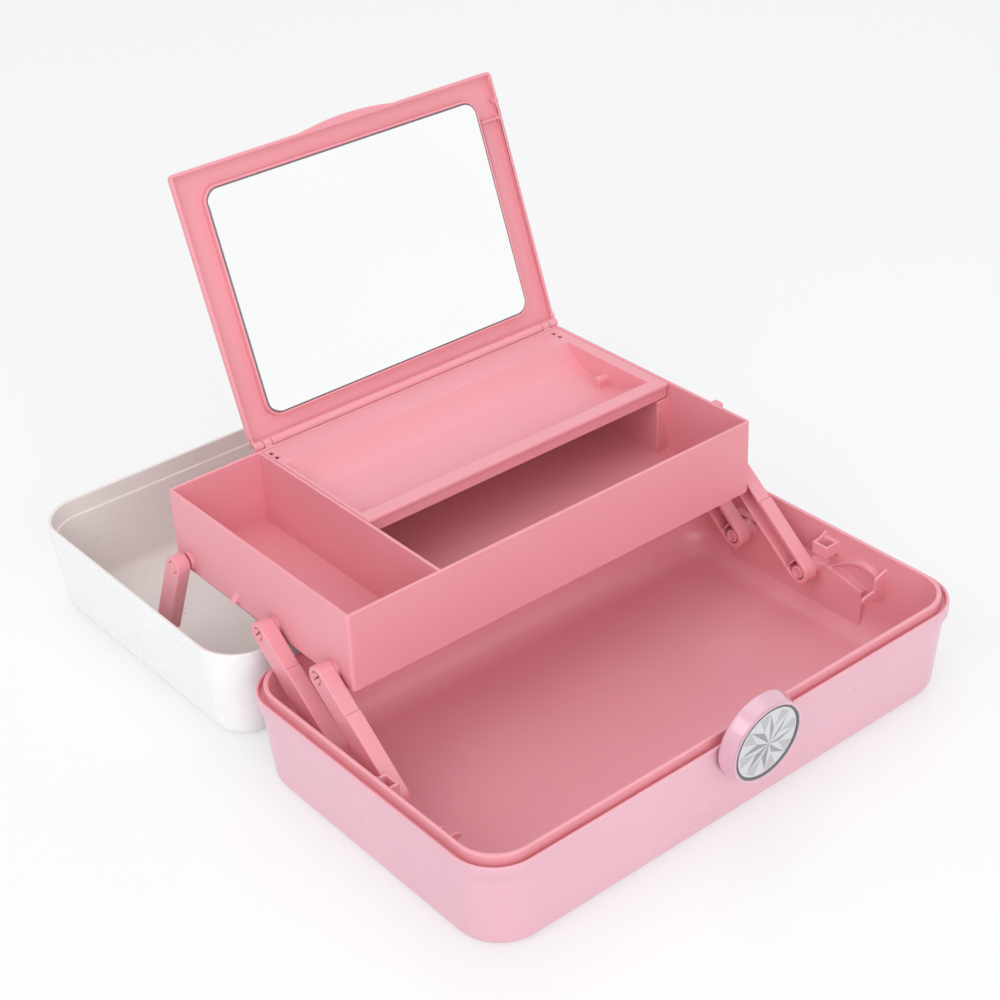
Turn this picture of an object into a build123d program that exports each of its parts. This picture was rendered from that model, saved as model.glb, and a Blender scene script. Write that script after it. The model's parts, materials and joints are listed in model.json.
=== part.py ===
from build123d import *
from math import atan, cos, degrees, radians, sin, tan
import os

os.makedirs("parts", exist_ok=True)

# A cantilever vanity case, drawn open as it stands on a table: the base with its
# front towards -Y, the lid folded back flat behind it, the tray lifted on its arms
# and the mirror lid standing. The origin is the centre of the underside of the base.

# ---- shells
case_width = 330.0
case_depth = 202.0
corner_radius = 26.0
base_height = 54.2
lid_height = 58.5
body_corner = 30.5
core_corner = 21.0
base_draft = 5.0
lid_draft = 5.5
core_draft = 1.5
foot_radius = 6.5
core_foot = 16.0
lid_foot = 9.0
floor_thickness = 2.5
band_height = 6.5
band_step = 0.3
outer_lip = 1.8
groove_width = 2.6
groove_depth = 3.5
inner_lip = 2.1
inner_lip_rise = 3.5
lid_wall = 2.3
lid_ledge = 1.1
lid_ledge_depth = 10.0
lid_panel = 2.4

# ---- fits and clearances
rim_gap = 0.3
pin_fit = 0.08
side_clearance = 0.4
panel_clearance = 0.3
seat_gap = 0.3

# ---- lid hinge
hinge_out = 4.6
knuckle_radius = 4.0
knuckle_length = 10.0
lid_knuckle_length = 12.0
hinge_pin_radius = 1.5
hinge_spacing = 180.0

# ---- tray
side_bay = 27.9
tray_depth = 161.0
tray_height = 45.3
tray_wall = 2.0
tray_floor = 2.0
tray_corner = 2.0
divider_x = -79.3
divider_wall = 2.0
pin_setback = 16.2
pin_height = 5.5
pin_spacing = 51.0
link_setback = 13.3
link_pin_height = 6.8
boss_radius = 5.0
boss_rise = 1.6
pin_bore_depth = 6.0
stop_back = 87.5
stop_rise = 3.7
stop_height = 5.7
stop_reach = 4.0
catch_bump_at = 24.6
catch_bump_width = 6.0
catch_bump_drop = 9.0

# ---- arms and lid links
arm_pivot_y = -2.0
arm_pivot_z = 33.0
arm_length = 68.3
arm_angle = 39.2
arm_gap = 1.9
arm_thickness = 9.0
arm_half = 6.3
arm_step = 0.8
arm_step_at = 44.0
arm_skin = 1.8
arm_rib_at = 6.5
pin_radius = 2.4
hub_wall = 1.5
head_radius = 3.2
head_length = 1.4
link_length = 50.0
link_angle = -66.5
link_half = 6.1
link_inset = 1.3

# ---- shelf in the tray
shelf_front = 62.3
shelf_fascia = 9.5
shelf_skin = 1.7
shelf_lip = 1.8
nosing_height = 3.2
nosing_out = 1.4
dish_depth = 15.0
dish_front = 8.6
dish_rear = 17.9
dish_left = 2.4
dish_right = 7.8
hinge_slot_width = 2.2
hinge_slot_length = 3.4
support_rib = 4.5
support_rib_width = 2.0
bay_wall = 8.5
bay_skin = 1.6
lug_length = 7.0
lug_radius = 3.2
lug_back = 45.0

# ---- mirror lid
mirror_lean = 20.0
mirror_height = 153.0
mirror_thickness = 6.5
mirror_out = 3.1
mirror_up = 0.6
mirror_left = -80.7
mirror_overhang = 1.4
frame_lip = 2.0
channel_depth = 4.3
channel_width = 13.5
channel_bottom = 9.0
channel_top = 9.5
back_chamfer = 3.0
glass_rim = 1.5
glass_radius = 8.0
glass_thickness = 1.8
glass_clearance = 0.2
frame_corner = 3.0
snap_height = 136.0
rib_drop = 27.0
ear_radius = 2.8
ear_width = 5.0
ear_lug = 6.0
ear_pin_radius = 1.1
ear_inset = 9.0
tab_width = 68.0
tab_rise = 2.8
tab_thickness = 2.2
tab_offset = 7.0

# ---- latch
latch_radius = 22.6
latch_flare = 2.0
latch_thickness = 9.8
latch_pivot_out = 3.5
latch_pivot_z = 33.0
latch_rise = 20.2
latch_tilt = 5.2
latch_back_gap = 0.4
latch_skin = 1.5
latch_pin_radius = 1.3
latch_ear_radius = 3.0
latch_ear_width = 8.0
latch_cheek = 5.5
ring_radius = 21.6
ring_width = 1.4
ring_depth = 1.8
disc_thickness = 1.4
catch_z = 61.8
catch_width = 18.0
catch_height = 2.6
catch_depth = 2.4
hook_reach = 2.2
hook_height = 2.4

# ---- carry handle
well_width = 132.0
well_depth_y = 46.0
well_depth = 6.6
handle_clearance = 4.0
handle_reach = 32.0
handle_bar = 12.0
handle_leg = 9.0
handle_thickness = 5.2
handle_pin_radius = 2.0
handle_pivot_inset = 7.0

# ---- values worked out from the sizes above
half_w = case_width / 2
half_d = case_depth / 2
rim_thickness = outer_lip + groove_width + inner_lip
base_top = base_height + inner_lip_rise
hinge_y = half_d + hinge_out
hinge_z = (base_height + rim_gap + lid_height) / 2
lid_y = 2 * hinge_y
arm_dir = (cos(radians(arm_angle)), sin(radians(arm_angle)))
front_pin_y = arm_pivot_y + arm_length * arm_dir[0]
front_pin_z = arm_pivot_z + arm_length * arm_dir[1]
tray_x = half_w - side_bay
handle_width = well_width - 2 * handle_clearance
tray_front = front_pin_y - pin_setback
tray_rear = tray_front + tray_depth
tray_bottom = front_pin_z - pin_height
tray_top = tray_bottom + tray_height
tray_mid = (tray_front + tray_rear) / 2
arm_in = tray_x + arm_gap
arm_out = arm_in + arm_thickness
boss_face = arm_out + side_clearance
link_in = arm_in + link_inset
link_pin_y = tray_rear - link_setback
link_pin_z = tray_bottom + link_pin_height
link_dir = (cos(radians(link_angle)), sin(radians(link_angle)))
lid_pin_y = link_pin_y + link_length * link_dir[0]
lid_pin_z = link_pin_z + link_length * link_dir[1]
mirror_y = tray_rear + mirror_out
mirror_z = tray_top + mirror_up
mirror_right = tray_x + mirror_overhang


def core_x(z):
    """Half width of the cavity in the base at height z."""
    return half_w - rim_thickness - (base_top - z) * tan(radians(core_draft))


def lid_core_x(z):
    """Half width of the cavity in the open lid at height z."""
    return half_w - lid_wall - lid_ledge - (lid_height - z) * tan(radians(lid_draft))


# ================= base tub
with BuildPart() as base_tub:
    # outer body, drawn down from the underside of the rim band
    with BuildSketch(Plane((0, 0, base_height - band_height), z_dir=(0, 0, -1))):
        RectangleRounded(
            case_width - 2 * band_step, case_depth - 2 * band_step, body_corner
        )
    extrude(amount=base_height - band_height, taper=base_draft)
    fillet(base_tub.edges().group_by(Axis.Z)[0], foot_radius)
    # rim band
    with BuildSketch(Plane.XY.offset(base_height - band_height)):
        RectangleRounded(case_width, case_depth, corner_radius)
    extrude(amount=band_height)
    # inner lip that stands inside the lid
    with BuildSketch(Plane.XY.offset(base_height - band_height)):
        RectangleRounded(
            case_width - 2 * (outer_lip + groove_width),
            case_depth - 2 * (outer_lip + groove_width),
            corner_radius - outer_lip - groove_width,
        )
    extrude(amount=band_height + inner_lip_rise)
    # groove between the two lips
    with BuildSketch(Plane.XY.offset(base_height - groove_depth)):
        RectangleRounded(
            case_width - 2 * outer_lip, case_depth - 2 * outer_lip, corner_radius - outer_lip
        )
        RectangleRounded(
            case_width - 2 * (outer_lip + groove_width),
            case_depth - 2 * (outer_lip + groove_width),
            corner_radius - outer_lip - groove_width,
            mode=Mode.SUBTRACT,
        )
    extrude(amount=groove_depth, mode=Mode.SUBTRACT)

with BuildPart() as base_core:
    with BuildSketch(Plane((0, 0, base_top), z_dir=(0, 0, -1))):
        RectangleRounded(
            case_width - 2 * rim_thickness,
            case_depth - 2 * rim_thickness,
            core_corner,
        )
    extrude(amount=base_top - floor_thickness, taper=core_draft)
    fillet(base_core.edges().group_by(Axis.Z)[0], core_foot)

# fittings on the inside of the right wall, where the two arms turn
ledge_z = 33.0
pad_x = core_x(ledge_z) - 4.5
rib_line = [(-9.0, 33.0), (-15.0, 38.0), (-28.0, 45.4), (-35.0, 46.8), (-42.0, 45.1), (-48.5, 42.2)]
rib_bead = 3.0
socket_y = -9.5
socket_length = 11.0
socket_z = 43.5
socket_height = 7.5
fin_y = -49.0
fin_width = 1.8
fin_nose = arm_in + 0.5
fin_nose_z = 38.6
with BuildPart() as side_fittings:
    # wall pad behind the arms
    with BuildSketch(Plane.YZ.offset(pad_x)):
        with BuildLine():
            Polyline(
                (-37, floor_thickness - 1),
                (arm_pivot_y + pin_spacing + 12, floor_thickness - 1),
                (arm_pivot_y + pin_spacing + 12, ledge_z + 6),
                (arm_pivot_y - 4, ledge_z + 2),
                (-24, ledge_z),
                (-37, ledge_z - 3),
                close=True,
            )
        make_face()
    extrude(amount=core_x(floor_thickness) + 1.6 - pad_x)
    # pivot bosses
    with BuildSketch(Plane.YZ.offset(boss_face)):
        with Locations(
            (arm_pivot_y, arm_pivot_z), (arm_pivot_y + pin_spacing, arm_pivot_z)
        ):
            Circle(boss_radius)
    extrude(amount=core_x(arm_pivot_z) + 1 - boss_face)
    # curved rib on the wall, from the front pivot to the fin
    rib_x = core_x(ledge_z) - 2.5
    with BuildSketch(Plane.YZ.offset(rib_x)):
        with BuildLine():
            Spline(*rib_line)
            Line(rib_line[-1], (rib_line[-1][0] + 1.0, rib_line[-1][1] - rib_bead))
            Spline(*[(y + 1.0, z - rib_bead) for y, z in reversed(rib_line)])
            Line((rib_line[0][0] + 1.0, rib_line[0][1] - rib_bead), rib_line[0])
        make_face()
    extrude(amount=core_x(ledge_z) + 2.0 - rib_x)
    # clip socket above the front pivot, with its small fin
    with BuildSketch(Plane.XY.offset(socket_z)):
        with Locations(((boss_face + core_x(socket_z) + 2) / 2, socket_y)):
            Rectangle(core_x(socket_z) + 2 - boss_face, socket_length)
        with Locations(((boss_face + core_x(socket_z)) / 2, socket_y)):
            Rectangle(
                core_x(socket_z) - boss_face - 3.4, socket_length - 3.2, mode=Mode.SUBTRACT
            )
    extrude(amount=socket_height)
    with BuildSketch(Plane.XZ.offset(-socket_y - socket_length / 2 + 1.6)):
        with BuildLine():
            Polyline(
                (core_x(base_height) + 1, socket_z + 1),
                (core_x(base_height) + 1, base_height),
                (core_x(base_height) - 5.0, base_height - 3),
                (core_x(base_height) - 5.0, socket_z + 1),
                close=True,
            )
        make_face()
    extrude(amount=-1.6)
    # gusset fin with a round nose, under the front arm as it lies when shut
    with BuildSketch(Plane.XZ.offset(-fin_y - fin_width / 2)):
        with BuildLine():
            Polyline(
                (fin_nose + 3.4, fin_nose_z - 5.0),
                (core_x(fin_nose_z - 9) + 2, fin_nose_z - 9),
                (core_x(fin_nose_z + 11.5) + 2, fin_nose_z + 11.5),
                (boss_face + 1.2, fin_nose_z + 8),
                (boss_face + 0.6, fin_nose_z + 0.5),
                (fin_nose + 2.4, fin_nose_z),
            )
            Spline(
                (fin_nose + 2.4, fin_nose_z),
                (fin_nose, fin_nose_z - 2.0),
                (fin_nose + 3.4, fin_nose_z - 5.0),
            )
        make_face()
    extrude(amount=fin_width)

with BuildPart() as base_pin_holes:
    with BuildSketch(Plane.YZ.offset(boss_face)):
        with Locations(
            (arm_pivot_y, arm_pivot_z), (arm_pivot_y + pin_spacing, arm_pivot_z)
        ):
            Circle(pin_radius + pin_fit)
    extrude(amount=7)

# hinge knuckles on the back of the base and on the lid, one pair of groups
base_knuckle_at = (lid_knuckle_length + knuckle_length) / 2 + seat_gap
with BuildPart() as base_knuckles:
    for x in (-hinge_spacing / 2, hinge_spacing / 2):
        for side in (-1, 1):
            start = x + side * base_knuckle_at - knuckle_length / 2
            with BuildSketch(Plane.YZ.offset(start)):
                with BuildLine():
                    Polyline(
                        (half_d - band_step - 0.6, base_height - 6),
                        (hinge_y + knuckle_radius * 0.7, hinge_z - knuckle_radius * 0.7),
                        (hinge_y, hinge_z),
                        (half_d - 0.6, base_height - 0.9),
                        (half_d - band_step - 0.6, base_height - 0.9),
                        close=True,
                    )
                make_face()
                with Locations((hinge_y, hinge_z)):
                    Circle(knuckle_radius)
                    Circle(hinge_pin_radius + pin_fit, mode=Mode.SUBTRACT)
            extrude(amount=knuckle_length)

# latch ear on the front of the base
latch_y = -half_d - latch_pivot_out
with BuildPart() as latch_ear:
    with BuildSketch(Plane.YZ.offset(-latch_ear_width / 2)):
        with BuildLine():
            Polyline(
                (latch_y, latch_pivot_z + latch_ear_radius),
                (-half_d + band_step + 2.2, latch_pivot_z + 5),
                (-half_d + band_step + 3.2, latch_pivot_z - 6),
                (latch_y, latch_pivot_z - latch_ear_radius),
                close=True,
            )
        make_face()
        with Locations((latch_y, latch_pivot_z)):
            Circle(latch_ear_radius)
            Circle(latch_pin_radius + pin_fit, mode=Mode.SUBTRACT)
    extrude(amount=latch_ear_width)

with BuildPart() as base_body:
    add(base_tub.part)
    add(base_core.part, mode=Mode.SUBTRACT)
    add(side_fittings.part)
    mirror(side_fittings.part, about=Plane.YZ)
    add(base_pin_holes.part, mode=Mode.SUBTRACT)
    mirror(base_pin_holes.part, about=Plane.YZ, mode=Mode.SUBTRACT)
    add(base_knuckles.part)
    add(latch_ear.part)
base_body.part.label = "base_tub"
export_step(base_body.part, "parts/base_tub.step")

# ================= lid, lying open on its top behind the base
with BuildPart() as lid_core:
    with BuildSketch(Plane((0, lid_y, lid_height), z_dir=(0, 0, -1))):
        RectangleRounded(
            case_width - 2 * (lid_wall + lid_ledge),
            case_depth - 2 * (lid_wall + lid_ledge),
            corner_radius - lid_wall - lid_ledge,
        )
    extrude(amount=lid_height - lid_panel, taper=lid_draft)
    fillet(lid_core.edges().group_by(Axis.Z)[0], lid_foot - 2)

pivot_y = lid_y + well_depth_y / 2 - handle_pivot_inset
pivot_z = well_depth / 2
with BuildPart() as lid_shell:
    with BuildSketch(Plane((0, lid_y, lid_height), z_dir=(0, 0, -1))):
        RectangleRounded(case_width, case_depth, corner_radius)
    extrude(amount=lid_height, taper=lid_draft)
    fillet(lid_shell.edges().group_by(Axis.Z)[0], lid_foot)
    add(lid_core.part, mode=Mode.SUBTRACT)
    # thinner edge above the inner ledge
    with BuildSketch(Plane((0, lid_y, lid_height), z_dir=(0, 0, -1))):
        RectangleRounded(
            case_width - 2 * lid_wall, case_depth - 2 * lid_wall, corner_radius - lid_wall
        )
    extrude(amount=lid_ledge_depth, taper=lid_draft, mode=Mode.SUBTRACT)
    # well for the folded handle
    with BuildSketch(Plane((0, lid_y, 0.5))):
        RectangleRounded(well_width + 2 * lid_panel, well_depth_y + 2 * lid_panel, 8)
    extrude(amount=well_depth + lid_panel - 0.5)
    with BuildSketch(Plane((0, lid_y, 0))):
        RectangleRounded(well_width, well_depth_y, 6)
    extrude(amount=well_depth, mode=Mode.SUBTRACT)
    with BuildSketch(Plane.YZ.offset(-well_width / 2 - lid_panel - 1)):
        with Locations((pivot_y, pivot_z)):
            Circle(handle_pin_radius + pin_fit)
    extrude(amount=well_width + 2 * lid_panel + 2, mode=Mode.SUBTRACT)
    # bosses for the two lid links
    for side in (-1, 1):
        with BuildSketch(Plane((side * boss_face, 0, 0), x_dir=(0, 1, 0), z_dir=(side, 0, 0))):
            with Locations((lid_pin_y, side * lid_pin_z)):
                Circle(boss_radius)
        extrude(amount=lid_core_x(lid_pin_z) + 1 - boss_face)
        with BuildSketch(Plane((side * boss_face, 0, 0), x_dir=(0, 1, 0), z_dir=(side, 0, 0))):
            with Locations((lid_pin_y, side * lid_pin_z)):
                Circle(pin_radius + pin_fit)
        extrude(amount=7, mode=Mode.SUBTRACT)
    # hinge knuckles
    for x in (-hinge_spacing / 2, hinge_spacing / 2):
        with BuildSketch(Plane.YZ.offset(x - lid_knuckle_length / 2)):
            with BuildLine():
                Polyline(
                    (lid_y - half_d + 0.8, lid_height - 7),
                    (hinge_y - knuckle_radius * 0.7, hinge_z - knuckle_radius * 0.7),
                    (hinge_y, hinge_z),
                    (lid_y - half_d + 0.6, lid_height - 0.8),
                    (lid_y - half_d + 0.8, lid_height - 0.8),
                    close=True,
                )
            make_face()
            with Locations((hinge_y, hinge_z)):
                Circle(knuckle_radius)
                Circle(hinge_pin_radius + pin_fit, mode=Mode.SUBTRACT)
        extrude(amount=lid_knuckle_length)
    # catch ridge on the front wall, turned to the open lid's place
    with BuildSketch(Plane.YZ.offset(-catch_width / 2)):
        with BuildLine():
            Polyline(
                (lid_y + half_d - 2, 2 * hinge_z - catch_z - catch_height),
                (lid_y + half_d + catch_depth - 0.6, 2 * hinge_z - catch_z - catch_height),
                (lid_y + half_d + catch_depth - 0.6, 2 * hinge_z - catch_z - 0.8),
                (lid_y + half_d - 0.6, 2 * hinge_z - catch_z + 0.8),
                (lid_y + half_d - 2, 2 * hinge_z - catch_z + 0.8),
                close=True,
            )
        make_face()
    extrude(amount=catch_width)
lid_shell.part.label = "lid_shell"
export_step(lid_shell.part, "parts/lid_shell.step")

# ================= steel rods of the lid hinge
with BuildPart() as lid_hinge_pins:
    rod = 2 * knuckle_length + lid_knuckle_length + 2 * seat_gap
    for x in (-hinge_spacing / 2, hinge_spacing / 2):
        with BuildSketch(Plane.YZ.offset(x - rod / 2)):
            with Locations((hinge_y, hinge_z)):
                Circle(hinge_pin_radius)
        extrude(amount=rod)
lid_hinge_pins.part.label = "lid_hinge_pins"
export_step(lid_hinge_pins.part, "parts/lid_hinge_pins.step")

# ================= pivot pins of the arms, in the bosses of the base
with BuildPart() as base_pivot_pins:
    for side in (-1, 1):
        with BuildSketch(Plane((side * (arm_in + 0.6), 0, 0), x_dir=(0, 1, 0), z_dir=(side, 0, 0))):
            with Locations(
                (arm_pivot_y, side * arm_pivot_z),
                (arm_pivot_y + pin_spacing, side * arm_pivot_z),
            ):
                Circle(pin_radius)
        extrude(amount=boss_face + 6 - arm_in - 0.6)
base_pivot_pins.part.label = "base_pivot_pins"
export_step(base_pivot_pins.part, "parts/base_pivot_pins.step")

# ================= tray
with BuildPart() as cantilever_tray:
    with BuildSketch(Plane((0, tray_mid, tray_bottom))):
        RectangleRounded(2 * tray_x, tray_depth, tray_corner)
    extrude(amount=tray_height)
    with BuildSketch(Plane((0, tray_mid, tray_bottom + tray_floor))):
        with Locations(((divider_x - divider_wall / 2 - tray_x + tray_wall) / 2, 0)):
            Rectangle(
                divider_x - divider_wall / 2 + tray_x - tray_wall, tray_depth - 2 * tray_wall
            )
        with Locations(((divider_x + divider_wall / 2 + tray_x - tray_wall) / 2, 0)):
            Rectangle(
                tray_x - tray_wall - divider_x - divider_wall / 2, tray_depth - 2 * tray_wall
            )
    extrude(amount=tray_height, mode=Mode.SUBTRACT)
    # ribs that carry the shelf on the divider's side
    rib_mid = divider_x + divider_wall / 2 + support_rib / 2 - 0.1
    with BuildSketch(Plane.XY.offset(tray_bottom + tray_floor - 0.5)):
        with Locations((rib_mid, tray_front + shelf_front + nosing_out + 1)):
            Rectangle(support_rib + 0.2, support_rib_width)
    extrude(amount=tray_height - tray_floor - shelf_fascia - seat_gap + 0.5)
    with BuildSketch(Plane.XY.offset(tray_bottom + tray_floor - 0.5)):
        with Locations((rib_mid, tray_rear - tray_wall - 12)):
            Rectangle(support_rib + 0.2, support_rib_width)
    extrude(amount=tray_height - tray_floor - shelf_skin - seat_gap + 0.5)
    # narrow bay wall on the right with its front return
    bay_x = tray_x - tray_wall - bay_wall
    bay_y = tray_front + shelf_front + 0.5
    with BuildSketch(Plane.XY.offset(tray_bottom + tray_floor - 0.5)):
        with Locations((bay_x + bay_skin / 2, (bay_y + tray_rear - tray_wall) / 2)):
            Rectangle(bay_skin, tray_rear - tray_wall - bay_y + 0.4)
    extrude(amount=tray_height - tray_floor - dish_depth - shelf_skin - seat_gap + 0.5)
    with BuildSketch(Plane.XY.offset(tray_bottom + tray_floor - 0.5)):
        with Locations((tray_x - tray_wall - bay_wall / 2 + 0.1, bay_y + bay_skin / 2)):
            Rectangle(bay_wall + 0.2, bay_skin)
    extrude(amount=tray_height - tray_floor - shelf_fascia - seat_gap + 0.5)
    # bosses of the arm and link pivots, catch bump and stop lug on both sides
    for side in (-1, 1):
        with BuildSketch(
            Plane((side * (tray_x - 0.2), 0, 0), x_dir=(0, 1, 0), z_dir=(side, 0, 0))
        ):
            with Locations(
                (front_pin_y, side * front_pin_z),
                (front_pin_y + pin_spacing, side * front_pin_z),
                (link_pin_y, side * link_pin_z),
            ):
                Circle(boss_radius)
        extrude(amount=boss_rise + 0.2)
        with BuildSketch(Plane((side * tray_x, 0, 0), x_dir=(0, 1, 0), z_dir=(side, 0, 0))):
            with Locations((link_pin_y, side * link_pin_z)):
                Circle(pin_radius)
        extrude(amount=link_in - tray_x - side_clearance)
        with BuildSketch(Plane.XZ.offset(-(front_pin_y + stop_back))):
            with BuildLine():
                Polyline(
                    (side * (tray_x - 0.5), tray_bottom + stop_rise + stop_height),
                    (side * (tray_x + stop_reach), tray_bottom + stop_rise),
                    (side * (tray_x - 0.5), tray_bottom + stop_rise),
                    close=True,
                )
            make_face()
        extrude(amount=4)
    with BuildSketch(Plane.YZ.offset(tray_x - 0.5)):
        with BuildLine():
            Polyline(
                (tray_front + catch_bump_at, tray_top - catch_bump_drop),
                (tray_front + catch_bump_at + catch_bump_width, tray_top - catch_bump_drop),
                (tray_front + catch_bump_at + catch_bump_width, tray_top),
                (tray_front + catch_bump_at, tray_top),
                close=True,
            )
        make_face()
    extrude(amount=4.2)
    # bores of the arm pins
    for start in (-tray_x - pin_bore_depth / 2, tray_x - pin_bore_depth / 2):
        with BuildSketch(Plane.YZ.offset(start)):
            with Locations(
                (front_pin_y, front_pin_z), (front_pin_y + pin_spacing, front_pin_z)
            ):
                Circle(pin_radius + pin_fit)
        extrude(amount=pin_bore_depth, mode=Mode.SUBTRACT)
    # ears of the mirror hinge on the rear wall
    for x in (mirror_left + ear_inset, mirror_right - ear_inset):
        with BuildSketch(Plane.YZ.offset(x - ear_width / 2)):
            with BuildLine():
                Polyline(
                    (tray_rear - 1, tray_top - 9),
                    (mirror_y + ear_radius * 0.7, mirror_z - ear_radius * 0.7),
                    (mirror_y, mirror_z),
                    (mirror_y - ear_radius * 0.7, tray_top),
                    (tray_rear - 1, tray_top),
                    close=True,
                )
            make_face()
            with Locations((mirror_y, mirror_z)):
                Circle(ear_radius)
                Circle(ear_pin_radius + pin_fit, mode=Mode.SUBTRACT)
        extrude(amount=ear_width)
cantilever_tray.part.label = "cantilever_tray"
export_step(cantilever_tray.part, "parts/cantilever_tray.step")

# ================= split snap pins that hold the arms to the tray
with BuildPart() as tray_pivot_pins:
    for side in (-1, 1):
        spots = (
            (front_pin_y, side * front_pin_z),
            (front_pin_y + pin_spacing, side * front_pin_z),
        )
        with BuildSketch(
            Plane((side * (tray_x - tray_wall), 0, 0), x_dir=(0, 1, 0), z_dir=(side, 0, 0))
        ):
            with Locations(spots):
                Circle(pin_radius)
        extrude(amount=arm_out - tray_x + tray_wall)
        with BuildSketch(
            Plane((side * (arm_out - head_length), 0, 0), x_dir=(0, 1, 0), z_dir=(side, 0, 0))
        ):
            with Locations(spots):
                Circle(head_radius)
        extrude(amount=head_length)
        with BuildSketch(
            Plane((side * (arm_out - 3), 0, 0), x_dir=(0, 1, 0), z_dir=(side, 0, 0))
        ):
            with Locations(spots):
                Rectangle(2 * head_radius + 1, 1.0, rotation=45)
        extrude(amount=4, mode=Mode.SUBTRACT)
tray_pivot_pins.part.label = "tray_pivot_pins"
export_step(tray_pivot_pins.part, "parts/tray_pivot_pins.step")

# ================= dished shelf dropped into the rear of the tray
shelf_x0 = divider_x + divider_wall / 2 + panel_clearance
shelf_x1 = tray_x - tray_wall - panel_clearance
shelf_y0 = tray_front + shelf_front
shelf_y1 = tray_rear - tray_wall - panel_clearance
dish_y0 = shelf_y0 + dish_front
dish_y1 = shelf_y1 - dish_rear
dish_span = dish_y1 - dish_y0


def dish_curve(rise, grow):
    """Cross-section of the dish from its front edge to its rear edge."""
    spots = (
        (0.0, 0.0), (0.09, 0.3), (0.26, 0.8), (0.46, 1.0),
        (0.66, 0.95), (0.835, 0.8), (0.92, 0.49), (1.0, 0.0),
    )
    return [
        (
            dish_y0 - grow + (dish_span + 2 * grow) * share,
            tray_top + rise - (dish_depth + grow) * depth,
        )
        for share, depth in spots
    ]


with BuildPart() as tray_shelf:
    # plate with its nosing, and the skin of the dish under it
    with BuildSketch(Plane.YZ.offset(shelf_x0)):
        with BuildLine():
            Polyline(
                (shelf_y0 + nosing_out, tray_top - shelf_fascia),
                (shelf_y0 + nosing_out + shelf_skin, tray_top - shelf_fascia),
                (shelf_y0 + nosing_out + shelf_skin, tray_top - shelf_skin),
                (shelf_y1 - shelf_lip, tray_top - shelf_skin),
                (shelf_y1 - shelf_lip, tray_top - shelf_fascia),
                (shelf_y1, tray_top - shelf_fascia),
                (shelf_y1, tray_top),
                (shelf_y0 + 0.8, tray_top),
                (shelf_y0, tray_top - 0.8),
                (shelf_y0, tray_top - nosing_height + 0.6),
                (shelf_y0 + nosing_out, tray_top - nosing_height),
                close=True,
            )
        make_face()
    extrude(amount=shelf_x1 - shelf_x0)
    with BuildSketch(Plane.YZ.offset(shelf_x0 + dish_left - shelf_skin)):
        with BuildLine():
            Spline(*dish_curve(0, shelf_skin))
            Line(dish_curve(0, shelf_skin)[-1], dish_curve(0, shelf_skin)[0])
        make_face()
    extrude(amount=shelf_x1 - shelf_x0 - dish_left - dish_right + 2 * shelf_skin)
    with BuildSketch(Plane.YZ.offset(shelf_x0 + dish_left)):
        with BuildLine():
            Spline(*dish_curve(0, 0))
            Line(dish_curve(0, 0)[-1], dish_curve(0, 0)[0])
        make_face()
    extrude(amount=shelf_x1 - shelf_x0 - dish_left - dish_right, mode=Mode.SUBTRACT)
    # half-round lug low on the right end wall of the dish
    with BuildSketch(Plane.YZ.offset(shelf_x1 - dish_right - lug_length)):
        with Locations((shelf_y0 + lug_back, tray_top - dish_depth + lug_radius)):
            Circle(lug_radius)
            with Locations((0, -lug_radius / 2 - 0.4)):
                Rectangle(2 * lug_radius, lug_radius + 0.8)
    extrude(amount=lug_length + 0.5)
    # slots beside the mirror hinge
    with BuildSketch(Plane.XY.offset(tray_top + 0.5)):
        with Locations(
            (shelf_x0 + 2.6, shelf_y1 - 4.6),
            (shelf_x0 + 2.6, shelf_y1 - 10.2),
            (shelf_x1 - 6.6, shelf_y1 - 4.6),
            (shelf_x1 - 6.6, shelf_y1 - 10.2),
        ):
            Rectangle(hinge_slot_width, hinge_slot_length)
    extrude(amount=-shelf_skin - 1, mode=Mode.SUBTRACT)
tray_shelf.part.label = "tray_shelf"
export_step(tray_shelf.part, "parts/tray_shelf.step")

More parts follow.
